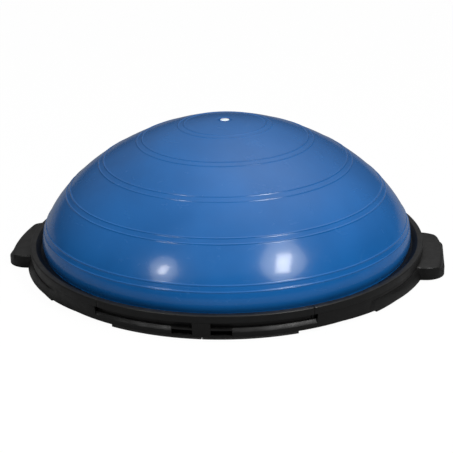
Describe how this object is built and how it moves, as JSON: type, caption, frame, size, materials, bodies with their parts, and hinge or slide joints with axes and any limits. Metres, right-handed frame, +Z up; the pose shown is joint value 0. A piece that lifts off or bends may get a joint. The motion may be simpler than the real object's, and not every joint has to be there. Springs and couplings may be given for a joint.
{
  "type": "balance dome trainer",
  "caption": "Air-filled half-ball on a round platform with handles on opposite sides, for standing balance exercise; a plug in the crown pulls out.",
  "frame": {"origin": "on the floor under the middle of the platform", "axes": "+Z up, +X through one handle, -Y towards the front block of the rim"},
  "size_m": [0.663, 0.6, 0.2226],
  "materials": {
    "moulded_shell": "satin",
    "moulded_ring": "satin",
    "inner_deck": "satin",
    "blue_vinyl": "glossy",
    "white_plug": "satin",
    "foot_rubber": "matte",
    "screw_steel": "satin"
  },
  "bodies": {
    "platform": {"base_shell": "moulded_shell", "support_deck": "inner_deck", "clamp_ring_front": "moulded_ring", "clamp_ring_right": "moulded_ring", "clamp_ring_back": "moulded_ring", "clamp_ring_left": "moulded_ring", "ring_screws": "screw_steel", "deck_screws": "screw_steel", "foot_pad_1": "foot_rubber", "foot_pad_2": "foot_rubber", "foot_pad_3": "foot_rubber", "foot_pad_4": "foot_rubber", "foot_pad_5": "foot_rubber", "foot_pad_6": "foot_rubber", "foot_pad_7": "foot_rubber", "foot_pad_8": "foot_rubber"},
    "dome": {"dome_bladder": "blue_vinyl", "valve_body": "blue_vinyl"},
    "plug": {"valve_plug": "white_plug"}
  },
  "joints": [
    {"name": "dome_press", "type": "slide", "parent": "platform", "child": "dome", "axis": [0, 0, 1], "range_m": [-0.05, 0], "stiffness_N_per_m": 16000, "springref_m": 0.004, "deforming": ["dome_bladder"]},
    {"name": "plug_pull", "type": "slide", "parent": "dome", "child": "plug", "axis": [0, 0, 1], "range_m": [0, 0.03]}
  ]
}
